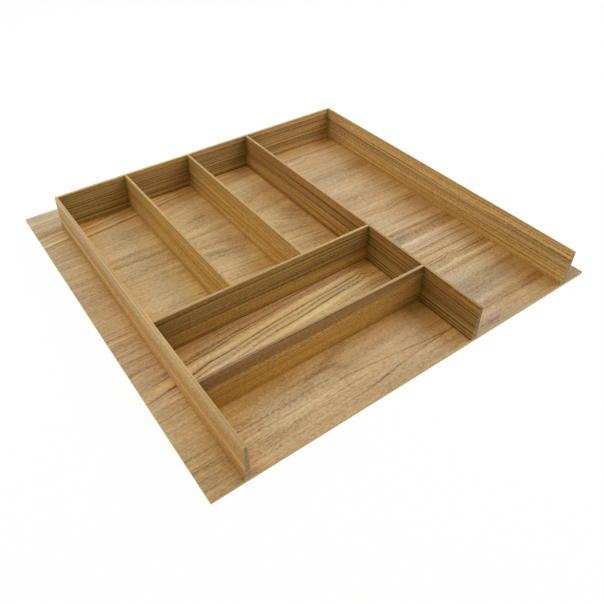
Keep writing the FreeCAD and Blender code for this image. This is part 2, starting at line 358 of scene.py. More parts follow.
# Lines by region: where they start and end along the grain, and each line's place in depth, half width
# and tone, dark below zero and light above it
Region = namedtuple("Region", "start end lines")
LINE_FADE = 0.020
FLOOR_REGIONS = [
    # middle bay and the rim beside it
    Region(-0.242, 0.050, [
        (-0.0700, 0.0014, -0.16),
        (-0.0745, 0.0020, 0.10),
        (-0.0790, 0.0012, -0.16),
        (-0.0848, 0.0011, -0.24),
        (-0.0873, 0.0011, -0.21),
        (-0.0912, 0.0038, 0.33),
        (-0.0957, 0.0012, -0.40),
        (-0.0980, 0.0016, 0.22),
        (-0.1000, 0.0011, -0.32),
        (-0.1028, 0.0018, 0.18),
        (-0.1110, 0.0060, 0.07),
    ]),
    # lines of the middle bay that end short of the crest
    Region(-0.242, 0.012, [
        (-0.1060, 0.0012, -0.36),
        (-0.1150, 0.0012, -0.10),
    ]),
    # rim beside the left wall
    Region(-0.270, -0.214, [
        (-0.2280, 0.0018, -0.26),
        (-0.2225, 0.0030, 0.22),
        (-0.2165, 0.0015, -0.34),
        (-0.2110, 0.0022, 0.16),
        (-0.1560, 0.0016, -0.14),
        (-0.0330, 0.0022, 0.22),
        (-0.0280, 0.0014, -0.30),
        (-0.0240, 0.0018, 0.16),
        (0.0660, 0.0018, -0.24),
        (0.0705, 0.0022, 0.22),
        (0.0755, 0.0014, -0.26),
        (0.0820, 0.0018, 0.16),
    ]),
    # front bay, to the left of the eye
    Region(-0.270, -0.110, [
        (-0.2030, 0.0014, -0.22),
        (-0.2130, 0.0016, -0.10),
        (-0.2370, 0.0014, -0.14),
    ]),
    # long bay
    Region(0.060, 0.270, [
        (-0.2280, 0.0060, 0.16),
        (-0.2165, 0.0040, -0.13),
        (-0.2080, 0.0050, 0.20),
        (-0.1610, 0.0050, 0.06),
        (-0.1545, 0.0012, -0.20),
        (-0.1470, 0.0060, 0.12),
        (-0.1340, 0.0015, -0.26),
        (-0.1175, 0.0014, -0.18),
        (-0.1005, 0.0016, 0.15),
        (-0.0960, 0.0013, -0.18),
        (-0.0930, 0.0015, 0.14),
        (-0.0870, 0.0034, 0.28),
        (-0.0815, 0.0016, -0.26),
        (-0.0720, 0.0105, -0.13),
        (-0.0625, 0.0015, -0.26),
        (-0.0572, 0.0028, 0.30),
        (-0.0530, 0.0013, -0.14),
        (-0.0472, 0.0020, 0.18),
        (-0.0400, 0.0014, -0.06),
        (-0.0270, 0.0013, -0.14),
        (-0.0100, 0.0017, -0.32),
        (0.0050, 0.0020, 0.10),
        (0.0660, 0.0030, 0.08),
        (0.1000, 0.0160, -0.12),
        (0.1600, 0.0019, -0.34),
        (0.1740, 0.0016, -0.10),
    ]),
    # rear bays and the rim beside them
    Region(-0.270, 0.080, [
        (-0.0180, 0.0016, -0.20),
        (0.0010, 0.0030, -0.12),
        (0.0410, 0.0030, -0.13),
        (0.0580, 0.0024, -0.13),
        (0.0780, 0.0030, -0.10),
        (0.0940, 0.0036, -0.12),
        (0.1100, 0.0036, -0.11),
        (0.1340, 0.0022, -0.08),
        (0.1725, 0.0017, -0.42),
        (0.1770, 0.0026, 0.26),
        (0.1815, 0.0015, -0.38),
        (0.1855, 0.0022, 0.22),
        (0.1890, 0.0012, -0.18),
        (0.1920, 0.0026, 0.24),
        (0.1975, 0.0034, -0.12),
        (0.2100, 0.0030, 0.14),
        (0.2180, 0.0024, -0.20),
        (0.2280, 0.0030, 0.16),
    ]),
    # third rear bay
    Region(-0.040, 0.080, [
        (0.0125, 0.0015, -0.26),
        (0.1310, 0.0016, -0.30),
        (0.1525, 0.0016, -0.28),
    ]),
]
# The sheet's tone by depth: it is darker along the front edge, and lighter along the back wall, which is
# painted light against the shade there
FLOOR_DEPTH_TONES = [(-0.247, 0.53), (-0.232, 0.59), (0.130, 0.59), (0.185, 0.68)]
# The eye of the front bay: two lines that meet in a point at the right
EYE_DEPTH = -0.2215
EYE_START = -0.110
EYE_FADE = 0.040
EYE_TIP = 0.050
EYE_OPENING = 0.125
EYE_HALF_GAP = 0.0125
EYE_HALF_WIDTH = 0.0016
EYE_TONE = -0.28
# Soft smudges with ragged edges: place, half length, half width, climb to the right and tone
SMUDGE_RAG = Noise(0.016, 0.006, 12, swing=0.4)
Smudge = namedtuple("Smudge", "x y length width climb tone")
FLOOR_SMUDGES = [
    Smudge(-0.080, -0.1790, 0.052, 0.012, 0.33, -0.25),
    Smudge(-0.074, -0.1930, 0.020, 0.009, -0.60, -0.15),
    Smudge(-0.030, -0.1720, 0.045, 0.008, 0.05, -0.10),
    Smudge(-0.190, -0.1970, 0.030, 0.006, 0.0, -0.14),
    Smudge(-0.070, 0.1060, 0.050, 0.016, 0.20, -0.13),
    Smudge(-0.080, 0.0400, 0.050, 0.014, -0.25, -0.13),
    Smudge(0.045, 0.0700, 0.036, 0.010, 0.0, -0.14),
    Smudge(0.125, -0.187, 0.070, 0.024, 0.0, -0.09),
    Smudge(0.098, -0.2400, 0.028, 0.005, 0.0, -0.26),
    Smudge(0.125, 0.035, 0.030, 0.014, 0.0, -0.10),
    Smudge(-0.150, -0.2140, 0.065, 0.015, 0.05, 0.05),
    Smudge(-0.040, -0.2060, 0.060, 0.012, 0.08, 0.08),
]
# The sheet's tint by share of its width: dark in the long divider's joint, greyer in the long bay, and redder
# and darker at the right, which is painted shade beside the right wall
FLOOR_SIDE_TINTS_AND_SHADE = [
    (0.07, (0.97, 1.04, 1.12, 1.0)),
    (0.09, (1.01, 1.05, 1.05, 1.0)),
    (0.613, (1.01, 1.04, 1.00, 1.0)),
    (0.617, (0.78, 0.77, 0.70, 1.0)),
    (0.66, (0.93, 1.00, 1.16, 1.0)),
    (0.80, (0.90, 0.91, 0.95, 1.0)),
    (0.88, (0.92, 0.89, 0.83, 1.0)),
    (0.93, (0.92, 0.89, 0.83, 1.0)),
    (0.94, (0.78, 0.79, 0.80, 1.0)),
]
# Its tint by share of its depth: paler in the middle bay's back, greyer along the back
FLOOR_DEPTH_TINTS = [
    (0.00, (0.94, 0.91, 0.92, 1.0)),
    (0.10, (0.93, 0.94, 0.96, 1.0)),
    (0.17, (1.02, 1.02, 1.04, 1.0)),
    (0.28, NO_TINT),
    (0.32, (1.05, 1.07, 1.18, 1.0)),
    (0.36, NO_TINT),
    (0.88, NO_TINT),
    (0.95, (0.93, 0.98, 1.07, 1.0)),
]
# Under the back wall the tints by width give way to one tint for the rim behind it
BACK_RIM_FROM, BACK_RIM_TO = 0.194, 0.201
BACK_RIM_TINT = (0.97, 1.04, 1.12, 1.0)
# Tint of the worn outer edges, and the range of the plumes' noise over which they are worn
FLOOR_WORN = (1.10, 1.10, 1.12, 1.0)
FLOOR_WEAR_RANGE = (0.35, 0.60)
# Places where the sheet is greyer, paler, more golden or pinker, and pale strips along the back wall that are
# painted light: place, half length, half width and tint.
# A patch is even out to a share of its size, and fades from there to a ragged edge
PATCH_RAG = Noise(0.030, 0.008, 14, swing=0.4)
PATCH_EVEN_SHARE = 0.5
Patch = namedtuple("Patch", "x y length width tint")
FLOOR_PATCHES = [
    Patch(0.125, -0.187, 0.085, 0.032, (0.94, 0.99, 1.10)),
    Patch(0.100, -0.073, 0.055, 0.012, (0.93, 0.97, 1.06)),
    Patch(-0.092, 0.050, 0.036, 0.130, (1.05, 1.12, 1.15)),
    Patch(-0.140, 0.058, 0.022, 0.120, (1.06, 1.09, 1.00)),
    Patch(-0.175, 0.060, 0.050, 0.140, (0.965, 1.02, 1.03)),
    Patch(0.046, 0.058, 0.020, 0.120, (1.02, 1.02, 0.97)),
    Patch(-0.235, -0.205, 0.030, 0.060, (1.01, 0.98, 0.80)),
    Patch(-0.150, -0.175, 0.080, 0.012, (1.05, 1.05, 1.00)),
    Patch(0.000, -0.205, 0.060, 0.032, (0.99, 0.96, 1.00)),
    Patch(-0.237, 0.222, 0.045, 0.040, (0.83, 0.80, 0.81)),
    Patch(-0.232, 0.145, 0.032, 0.050, (0.98, 1.06, 1.20)),
    Patch(-0.240, -0.113, 0.030, 0.013, (1.15, 1.14, 1.06)),
    Patch(-0.238, -0.150, 0.030, 0.016, (0.87, 0.83, 0.72)),
    Patch(-0.160, -0.212, 0.075, 0.018, (1.05, 1.09, 1.12)),
    Patch(-0.020, -0.236, 0.065, 0.015, (0.95, 1.03, 1.18)),
    Patch(0.044, -0.216, 0.022, 0.028, (1.09, 0.98, 0.77)),
    Patch(0.137, 0.100, 0.055, 0.034, (0.98, 1.06, 1.20)),
    Patch(0.132, -0.142, 0.040, 0.018, (1.02, 1.09, 1.16)),
    Patch(0.180, -0.184, 0.034, 0.020, (0.90, 0.85, 0.78)),
    Patch(0.238, -0.235, 0.032, 0.034, (0.82, 0.92, 0.96)),
    Patch(-0.046, -0.008, 0.030, 0.020, (1.05, 1.05, 0.90)),
    Patch(0.038, -0.100, 0.026, 0.026, (1.14, 1.11, 0.98)),
    Patch(0.050, -0.180, 0.020, 0.018, (0.94, 1.05, 0.98)),
    Patch(0.015, -0.190, 0.030, 0.024, (1.05, 1.06, 1.04)),
    Patch(0.104, -0.241, 0.044, 0.010, (0.90, 0.97, 1.08)),
    Patch(-0.242, -0.216, 0.030, 0.016, (1.06, 1.08, 1.04)),
    # painted light along the foot of the back wall in the first two rear bays
    Patch(-0.165, 0.188, 0.060, 0.014, (1.24, 1.26, 1.32)),
    Patch(-0.076, 0.192, 0.060, 0.009, (1.56, 1.66, 1.82)),
    Patch(-0.060, -0.105, 0.150, 0.022, (0.98, 1.01, 0.95)),
    # painted light along the foot of the back wall in the third rear bay and the long bay
    Patch(0.016, 0.190, 0.060, 0.012, (1.22, 1.24, 1.30)),
    Patch(0.140, 0.190, 0.100, 0.012, (1.14, 1.17, 1.22)),
]


# What the functions of the floor's veneer share: places in metres, the figure, the grain that follows it and
# the noises that serve more than once
Sheet = namedtuple("Sheet", "x y plain figure grain cloud flow fibre pore")


def floor_figure(f, x, y, plain):
    """The depth that a point would have if the veneer's lines were straight."""
    figure = f.total(y, f.swung(plain, FLOOR_DRIFT), f.swung(plain, FLOOR_RIPPLE))
    for sweep in FLOOR_SWEEPS:
        shift = f.math("MULTIPLY", f.course(y, sweep.steepness), f.course(x, sweep.run))
        figure = f.total(figure, shift)
    for hook in FLOOR_HOOKS:
        near_x = f.span(f.math("ABSOLUTE", f.math("SUBTRACT", x, hook.x)), 0.0, hook.reach, 1.0, 0.0)
        near_y = f.line(y, hook.y, HOOK_SPREAD, -hook.rise)
        figure = f.total(figure, f.math("MULTIPLY", f.math("MULTIPLY", near_x, near_x), near_y))
    return figure


def floor_sheet(f):
    """Places, figure and shared noises of the floor's veneer."""
    x, y, z = f.place()
    plain = f.vector(x, y, z)
    figure = floor_figure(f, x, y, plain)
    grain = f.vector(x, figure, z)
    return Sheet(
        x, y, plain, figure, grain,
        cloud=f.blots(plain, FLOOR_CLOUD),
        flow=f.blots(grain, FLOOR_FLOW),
        fibre=f.blots(grain, FLOOR_FIBRE),
        pore=f.span(f.blots(plain, FLOOR_PORE), *FLOOR_PORE_RANGE),
    )


def floor_lines(f, sheet):
    """Dark and light lines of the sheet, region by region, and the eye."""
    opened = f.span(sheet.x, EYE_TIP, EYE_TIP - EYE_OPENING)
    aside = f.math("ABSOLUTE", f.math("SUBTRACT", sheet.figure, EYE_DEPTH))
    eye = f.line(aside, f.math("MULTIPLY", opened, EYE_HALF_GAP), EYE_HALF_WIDTH, EYE_TONE)
    result = f.math("MULTIPLY", eye, f.span(sheet.x, EYE_START, EYE_START + EYE_FADE))
    for region in FLOOR_REGIONS:
        lines = f.total(*[f.line(sheet.figure, *line) for line in region.lines])
        ends = [
            (region.start, 0.0),
            (region.start + LINE_FADE, 1.0),
            (region.end - LINE_FADE, 1.0),
            (region.end, 0.0),
        ]
        result = f.total(result, f.math("MULTIPLY", lines, f.course(sheet.x, ends)))
    return result


def off_centre(f, x, y, spot, climb=0.0):
    """How far a point is from a spot's centre, where 1 is the spot's edge."""
    along = f.math("DIVIDE", f.math("SUBTRACT", x, spot.x), spot.length)
    middle = f.math("MULTIPLY_ADD", along, climb * spot.length, spot.y)
    aside = f.math("DIVIDE", f.math("SUBTRACT", y, middle), spot.width)
    return f.math("SQRT", f.math("MULTIPLY_ADD", along, along, f.math("MULTIPLY", aside, aside)))


def floor_smudges(f, sheet):
    """Soft dark and light smudges, which follow the figure."""
    rag = f.swung(sheet.plain, SMUDGE_RAG)
    result = 0.0
    for smudge in FLOOR_SMUDGES:
        off = f.total(off_centre(f, sheet.x, sheet.figure, smudge, smudge.climb), rag)
        result = f.total(f.span(off, 0.0, 1.0, smudge.tone, 0.0, smooth=True), result)
    return result


def floor_tone(f, sheet):
    """How light the sheet is, from 0 to 1: tone by depth with painted light along the back wall, lines,
    smudges, streaks, flecks and pores.
    """
    fading = f.span(f.blots(sheet.grain, FLOOR_FADING), *FLOOR_FADING_RANGE, *FLOOR_FADING_SHARES)
    streaked = f.ramp(f.span(sheet.y, FLOOR_LOW.y, FLOOR_HIGH.y), FLOOR_STREAK_SHARES)
    waved = f.span(sheet.x, WAVE_FROM, WAVE_TO, 1.0, WAVE_RIGHT_SHARE)
    flowed = f.span(sheet.x, FLOW_FROM, FLOW_TO)
    gathered = f.span(f.blots(sheet.plain, FLOOR_GATHER), *FLOOR_GATHER_RANGE)
    fleck = f.math("MULTIPLY", f.span(f.blots(sheet.plain, FLOOR_FLECK), *FLOOR_FLECK_RANGE), gathered)
    return f.total(
        f.course(sheet.y, FLOOR_DEPTH_TONES),
        f.swing(sheet.cloud, FLOOR_CLOUD.swing),
        f.math("MULTIPLY", f.swing(sheet.flow, FLOOR_FLOW.swing), flowed),
        f.math("MULTIPLY", f.swung(sheet.grain, FLOOR_WAVE), waved),
        f.math("MULTIPLY", floor_lines(f, sheet), fading),
        floor_smudges(f, sheet),
        f.math("MULTIPLY", f.swung(sheet.grain, FLOOR_BAND), streaked),
        f.math("MULTIPLY", f.swung(sheet.grain, FLOOR_STREAK), streaked),
        f.swing(sheet.fibre, FLOOR_FIBRE.swing),
        f.swung(sheet.plain, FLOOR_SPECK),
        f.math("MULTIPLY", fleck, FLOOR_FLECK_TONE),
        f.math("MULTIPLY", sheet.pore, FLOOR_PORE_TONE),
    )


def floor_tint_and_light(f, sheet):
    """The sheet's tint with painted shade and painted light: by width, by depth and by patches."""
    by_width = f.ramp(f.span(sheet.x, FLOOR_LOW.x, FLOOR_HIGH.x), FLOOR_SIDE_TINTS_AND_SHADE)
    by_depth = f.ramp(f.span(sheet.y, FLOOR_LOW.y, FLOOR_HIGH.y), FLOOR_DEPTH_TINTS)
    behind = f.span(sheet.y, BACK_RIM_FROM, BACK_RIM_TO)
    tint = f.times(f.mix(behind, by_width, BACK_RIM_TINT), by_depth)
    rag = f.swung(sheet.plain, PATCH_RAG)
    for patch in FLOOR_PATCHES:
        off = f.total(off_centre(f, sheet.x, sheet.y, patch), rag)
        share = f.span(off, PATCH_EVEN_SHARE, 1.0, 1.0, 0.0, smooth=True)
        tint = f.times(tint, f.mix(share, NO_TINT, (*patch.tint, 1.0)))
    return tint


def floor_wear(f, sheet):
    """Where the sheet's outer edges are worn, here more and there less."""
    across = f.span(f.math("ABSOLUTE", sheet.x), FLOOR_HIGH.x - WEAR_REACH, FLOOR_HIGH.x)
    along = f.span(f.math("ABSOLUTE", sheet.y), FLOOR_HIGH.y - WEAR_REACH, FLOOR_HIGH.y)
    edges = f.math("MAXIMUM", across, along)
    return f.math("MULTIPLY", edges, f.span(sheet.cloud, *FLOOR_WEAR_RANGE))


def floor_veneer():
    """One figured sheet with its grain across the tray."""
    f = Finish("floor_veneer", FLOOR_SURFACE)
    sheet = floor_sheet(f)
    blush = f.ramp(f.blots(sheet.plain, FLOOR_BLUSHING), FLOOR_BLUSH)
    tanned = f.times(f.ramp(floor_tone(f, sheet), FLOOR_TONES), blush)
    flow_share = f.span(sheet.x, FLOW_FROM, FLOW_TO, FLOW_LEFT_SHARE, 1.0)
    flowing = f.mix(flow_share, NO_TINT, f.ramp(sheet.flow, FLOOR_FLOWS))
    tinted = f.times(f.times(tanned, flowing), floor_tint_and_light(f, sheet))
    worn = floor_wear(f, sheet)
    rubbed = f.times(tinted, f.mix(worn, NO_TINT, FLOOR_WORN))
    # painted shade: a warm tone in the corners and a dark one in the joints
    corner_shaded = f.times(rubbed, f.corners(CREVICE_REACH, CREVICE_SHADE_TONES))
    colour = f.times(corner_shaded, f.corners(JOINT_REACH, JOINT_SHADE_TONES))
    height = f.total(sheet.fibre, f.math("MULTIPLY", sheet.pore, FLOOR_PORE_DEPTH))
    dull_pores = f.math("MULTIPLY", sheet.pore, PORE_DULLNESS)
    dull_edges = f.math("MULTIPLY", worn, EDGE_DULLNESS)
    return f.finish(colour, sheet.fibre, height, dull_pores, dull_edges)


# A strip's veneer: the run of its grain, a seed, colours by share of height from foot to crest, partly
# lightened low down as painted light against the shade at the foot, the crest's own colour, the strength of
# broad and fine stripes, then by share of length how light the rubbed crest is, from its wear and a painted
# highlight, how far the bands are lowered, how strong the stripes are and the painted shade and light along
# it, darker towards corners and joints, and the tint of both ends
Strip = namedtuple(
    "Strip",
    "name along seed bands crest stripes fine rub lowered calm shade start_tint end_tint",
    defaults=([(0.0, 0.0)], [(0.0, 1.0)], [(0.0, 1.0)], (1.0, 1.0, 1.0), (1.0, 1.0, 1.0)),
)
STRIPS = [
    Strip(
        "left_wall", "y", 11,
        [
            (0.00, srgb(178, 132, 75)),
            (0.20, srgb(188, 142, 84)),
            (0.30, srgb(192, 147, 87)),
            (0.38, srgb(207, 165, 97)),
            (0.46, srgb(188, 144, 86)),
            (0.56, srgb(181, 137, 83)),
            (0.72, srgb(186, 147, 93)),
            (0.88, srgb(193, 156, 102)),
            (1.00, srgb(212, 180, 130)),
        ],
        srgb(180, 149, 101), stripes=0.30, fine=0.55,
        rub=[(0.08, 0.88), (0.30, 1.08), (0.50, 1.07), (0.63, 0.90), (0.91, 0.98)],
        lowered=[(0.0, 0.0), (0.45, 0.09)],
        shade=[(0.0, 0.99), (0.22, 1.08), (0.45, 1.03), (0.57, 0.96)],
        end_tint=(0.97, 1.03, 1.14),
    ),
    Strip(
        "right_wall", "y", 12,
        [
            (0.00, srgb(192, 152, 89)),
            (0.15, srgb(200, 159, 93)),
            (0.32, srgb(198, 158, 94)),
            (0.38, srgb(184, 147, 89)),
            (0.46, srgb(197, 158, 97)),
            (0.62, srgb(186, 149, 93)),
            (0.80, srgb(208, 170, 107)),
            (1.00, srgb(196, 158, 101)),
        ],
        srgb(158, 126, 66), stripes=0.07, fine=0.85,
        rub=[(0.10, 1.05), (0.36, 0.89), (0.63, 1.00)],
        shade=[(0.0, 0.92), (0.22, 1.0), (0.84, 1.05), (0.92, 0.87)],
    ),
    Strip(
        "back_wall", "x", 13,
        [
            (0.00, srgb(184, 148, 86)),
            (0.08, srgb(174, 141, 81)),
            (0.16, srgb(164, 136, 77)),
            (0.60, srgb(169, 138, 80)),
            (0.80, srgb(170, 139, 84)),
            (1.00, srgb(194, 159, 100)),
        ],
        srgb(216, 188, 130), stripes=0.95, fine=1.00,
        rub=[(0.0, 1.07), (0.25, 1.02), (0.5, 0.95), (1.0, 0.86)],
        lowered=[(0.0, 0.0), (1.0, -0.05)],
        calm=[(0.0, 1.0), (0.7, 1.0), (0.8, 0.85)],
        shade=[
            (0.00, 0.93), (0.06, 1.03), (0.33, 0.97), (0.41, 0.86),
            (0.47, 1.00), (0.57, 0.93), (0.63, 0.68), (0.72, 1.06),
        ],
        start_tint=(0.79, 0.82, 0.86), end_tint=(1.17, 1.13, 1.38),
    ),
    Strip(
        "long_divider", "y", 14,
        [
            (0.00, srgb(146, 110, 56)),
            (0.06, srgb(160, 122, 63)),
            (0.12, srgb(177, 138, 75)),
            (0.25, srgb(186, 147, 79)),
            (0.40, srgb(176, 138, 73)),
            (0.50, srgb(150, 115, 60)),
            (0.64, srgb(150, 114, 60)),
            (0.80, srgb(160, 119, 61)),
            (1.00, srgb(165, 120, 62)),
        ],
        srgb(176, 147, 104), stripes=0.34, fine=2.70,
        rub=[(0.08, 0.97), (0.22, 0.87), (0.36, 0.98), (0.63, 0.97), (0.77, 1.06)],
        lowered=[(0.0, 0.08), (0.36, 0.08), (0.44, 0.0), (1.0, 0.03)],
        calm=[(0.0, 1.15), (0.36, 0.85), (0.44, 0.45), (1.0, 0.20)],
        shade=[
            (0.00, 1.13), (0.13, 0.94), (0.21, 0.93), (0.27, 1.01),
            (0.35, 0.86), (0.56, 1.11), (0.90, 0.83),
        ],
        start_tint=(0.745, 0.715, 0.66), end_tint=(1.24, 1.25, 1.32),
    ),
    Strip(
        "front_cross_divider", "x", 15,
        [
            (0.00, srgb(181, 139, 69)),
            (0.18, srgb(196, 149, 77)),
            (0.38, srgb(180, 137, 71)),
            (0.58, srgb(200, 152, 82)),
            (0.63, srgb(190, 145, 79)),
            (0.67, srgb(158, 122, 71)),
            (1.00, srgb(154, 116, 70)),
        ],
        srgb(171, 141, 105), stripes=0.24, fine=0.55,
        rub=[(0.07, 0.58), (0.36, 0.96), (0.50, 1.06), (0.93, 1.14)],
        lowered=[(0.0, 0.0), (0.45, 0.0), (1.0, -0.15)],
        shade=[(0.0, 0.86), (0.33, 1.06), (0.56, 1.05), (0.78, 0.97), (1.0, 0.71)],
    ),
    Strip(
        "rear_cross_divider", "x", 16,
        [
            (0.00, srgb(168, 132, 69)),
            (0.15, srgb(182, 146, 80)),
            (0.39, srgb(196, 158, 88)),
            (0.42, srgb(132, 106, 61)),
            (0.445, srgb(160, 132, 77)),
            (0.475, srgb(138, 110, 64)),
            (0.51, srgb(164, 135, 79)),
            (0.62, srgb(174, 144, 85)),
            (1.00, srgb(168, 136, 80)),
        ],
        srgb(177, 148, 103), stripes=0.24, fine=1.00,
        rub=[(0.07, 0.95), (0.36, 0.86), (0.64, 0.98), (0.93, 1.18)],
        lowered=[(0.0, 0.0), (1.0, 0.07)],
        shade=[(0.0, 0.70), (0.14, 0.93), (0.56, 1.07), (1.0, 0.93)],
    ),
    Strip(
        "left_short_divider", "y", 17,
        [
            (0.00, srgb(207, 165, 90)),
            (0.20, srgb(220, 180, 106)),
            (0.42, srgb(211, 170, 97)),
            (0.51, srgb(190, 147, 77)),
            (0.58, srgb(198, 156, 85)),
            (1.00, srgb(190, 147, 77)),
        ],
        srgb(188, 157, 112), stripes=0.10, fine=0.45,
        rub=[(0.07, 0.80), (0.50, 0.84), (0.64, 0.93)],
        lowered=[(0.0, 0.0), (1.0, 0.02)],
        shade=[(0.0, 1.03), (0.60, 1.0), (0.87, 0.86), (1.0, 0.80)],
    ),
    Strip(
        "right_short_divider", "y", 18,
        [
            (0.00, srgb(209, 168, 93)),
            (0.16, srgb(220, 179, 105)),
            (0.27, srgb(198, 157, 89)),
            (0.35, srgb(206, 164, 94)),
            (0.44, srgb(185, 145, 80)),
            (0.56, srgb(201, 160, 90)),
            (0.80, srgb(192, 151, 85)),
            (1.00, srgb(182, 141, 78)),
        ],
        srgb(180, 150, 105), stripes=0.10, fine=0.46,
        rub=[(0.0, 1.00), (0.2, 1.05), (0.36, 0.96)],
        lowered=[(0.0, 0.0), (1.0, 0.05)],
        shade=[(0.0, 1.10), (0.50, 1.0), (0.72, 0.96), (0.87, 0.87), (1.0, 0.68)],
    ),
]
STRIP_SURFACE = Surface(specular=0.18, roughness=0.48, mottle=0.10, relief=0.00004)
# Noises that shift the bands, in metres
STRIP_DRIFT = Noise(0.25, 0.05, 0, swing=0.004, detail=1.0)
STRIP_RIPPLE = Noise(0.020, 0.006, 100, swing=0.0005, detail=1.0)
# Broad and fine stripes, whose strength each strip sets, and specks
STRIP_STRIPE = Noise(1.20, 0.0022, 20, detail=0.0)
STRIP_FINE = Noise(0.25, 0.0011, 40, detail=0.0)
STRIP_SPECK = Noise(0.0026, 0.0010, 80, swing=0.72, detail=1.0)
# Where the fine stripes gather: range of the noise, and their strength at its ends
STRIP_GATHER = Noise(0.50, 0.0048, 120, detail=0.0)
STRIP_GATHER_RANGE = (0.36, 0.64)
STRIP_GATHER_SHARES = (0.45, 1.50)
# Pores: where their noise starts to show and where it shows in full, and their tone
STRIP_PORE = Noise(0.006, 0.0004, 60, detail=1.0)
STRIP_PORE_RANGE = (0.62, 0.74)
STRIP_PORE_TONE = -0.06
STRIP_PORE_DEPTH = -1.5
# Tints of dark, middling and light stripes
STRIPING = [
    (0.0, (0.45, 0.42, 0.36, 1.0)),
    (0.5, NO_TINT),
    (1.0, (1.42, 1.44, 1.46, 1.0)),
]
# The painted shade along a strip falls in full on its face towards the front or the left, and only in part on
# the face towards the back or the right
FAR_FACE_SHADE_SHARE = 0.20
FAR_FACE_START = 0.0015
# and the crest's arris on that side has a painted highlight, brighter and warmer
FAR_ARRIS_FROM, FAR_ARRIS_TO = 0.0006, 0.0012
FAR_ARRIS_HIGHLIGHT = (1.42, 1.30, 1.04, 1.0)
# The crest is worn from this far below its top, fully so from nearer on, with a ragged edge and faint stripes
CREST_WEAR_START = 0.0006
CREST_WEAR_FULL = 0.0002
CREST_WEAR_RAG = 0.0003
CREST_STRIPING = 0.5
# What the functions of a strip's veneer share: height, place across the strip, the middle of its thickness,
# share of the length, the level that follows the figure, the grain, and the noises that serve more than once
Lay = namedtuple("Lay", "z cross middle share level grain fine speck pore")


def strip_lay(f, strip, low, high):
    """Places, grain and shared noises of a strip's veneer."""
    x, y, z = f.place()
    if strip.along == "x":
        run, cross = x, y
        first, last, middle = low.x, high.x, (low.y + high.y) / 2
    else:
        run, cross = y, x
        first, last, middle = low.y, high.y, (low.x + high.x) / 2
    plain = f.vector(run, cross, z)
    drift = f.swung(plain, STRIP_DRIFT, strip.seed)
    level = f.total(z, drift, f.swung(plain, STRIP_RIPPLE, strip.seed))
    grain = f.vector(run, cross, level)
    return Lay(
        z, cross, middle, f.span(run, first, last), level, grain,
        fine=f.blots(grain, STRIP_FINE, strip.seed),
        speck=f.blots(plain, STRIP_SPECK, strip.seed),
        pore=f.span(f.blots(grain, STRIP_PORE, strip.seed), *STRIP_PORE_RANGE),
    )


def strip_tone(f, strip, lay):
    """How light the stripes are, from 0 to 1 about the mean."""
    stripe = f.blots(lay.grain, STRIP_STRIPE, strip.seed)
    gather = f.blots(lay.grain, STRIP_GATHER, strip.seed)
    gathered = f.span(gather, *STRIP_GATHER_RANGE, *STRIP_GATHER_SHARES)
    fine_stripes = f.math("MULTIPLY", f.swing(lay.fine, strip.fine), gathered)
    stripes = f.total(f.swing(stripe, strip.stripes), fine_stripes)
    return f.total(
        MEAN_TONE,
        f.math("MULTIPLY", stripes, f.course(lay.share, strip.calm)),
        f.swing(lay.speck, STRIP_SPECK.swing),
        f.math("MULTIPLY", lay.pore, STRIP_PORE_TONE),
    )


def strip_face(f, strip, lay, tone):
    """Colour of the two faces: bands by height, stripes, tint of both ends and painted shade along the strip.
    """
    share_up = f.total(f.span(lay.level, FOOT_HEIGHT, CREST_HEIGHT), f.course(lay.share, strip.lowered))
    striped = f.times(f.ramp(share_up, strip.bands), f.ramp(tone, STRIPING))
    tint = f.mix(lay.share, (*strip.start_tint, 1.0), (*strip.end_tint, 1.0))
    # painted shade: darker towards the corners and joints, mostly on the near face
    shade = f.math("SUBTRACT", f.course(lay.share, strip.shade), 1.0)
    shade_share = f.span(lay.cross, lay.middle, lay.middle + FAR_FACE_START, 1.0, FAR_FACE_SHADE_SHARE)
    lightness = f.math("MULTIPLY_ADD", shade, shade_share, 1.0)
    return f.times(f.times(striped, tint), lightness)


def strip_crest(f, strip, lay, tone):
    """Colour of the rubbed crest, with a painted highlight on its far arris."""
    faint_stripes = f.math("MULTIPLY_ADD", tone, CREST_STRIPING, 1.0 - CREST_STRIPING * MEAN_TONE)
    highlit_arris = f.span(lay.cross, lay.middle + FAR_ARRIS_FROM, lay.middle + FAR_ARRIS_TO)
    # the crest's lightness along the strip is its wear and a painted highlight
    rub = f.times(f.mix(highlit_arris, NO_TINT, FAR_ARRIS_HIGHLIGHT), f.course(lay.share, strip.rub))
    return f.times(f.times(strip.crest[:3], faint_stripes), rub)


def strip_veneer(strip):
    """Straight-grained veneer that runs with its strip: broad bands, stripes, fibres and pores."""
    node = strip.name + "_veneer"
    low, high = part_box(node)
    f = Finish(node, STRIP_SURFACE)
    lay = strip_lay(f, strip, low, high)
    tone = strip_tone(f, strip, lay)
    ragged = f.total(lay.z, f.swing(lay.speck, CREST_WEAR_RAG))
    worn = f.span(ragged, CREST_HEIGHT - CREST_WEAR_START, CREST_HEIGHT - CREST_WEAR_FULL)
    rubbed = f.mix(worn, strip_face(f, strip, lay, tone), strip_crest(f, strip, lay, tone))
    # painted shade in the corners, weaker along the foot
    above_foot = f.span(lay.z, FOOT_HEIGHT, FOOT_HEIGHT + FOOT_REACH, FOOT_SHARE, 1.0)
    corner_shade = f.mix(above_foot, NO_TINT, f.corners(STRIP_CORNER_REACH, STRIP_CORNER_SHADE_TONES))
    height = f.total(lay.fine, f.math("MULTIPLY", lay.pore, STRIP_PORE_DEPTH))
    dull_pores = f.math("MULTIPLY", lay.pore, PORE_DULLNESS)
    dull_crest = f.math("MULTIPLY", worn, CREST_DULLNESS)
    return f.finish(f.times(rubbed, corner_shade), lay.fine, height, dull_pores, dull_crest)


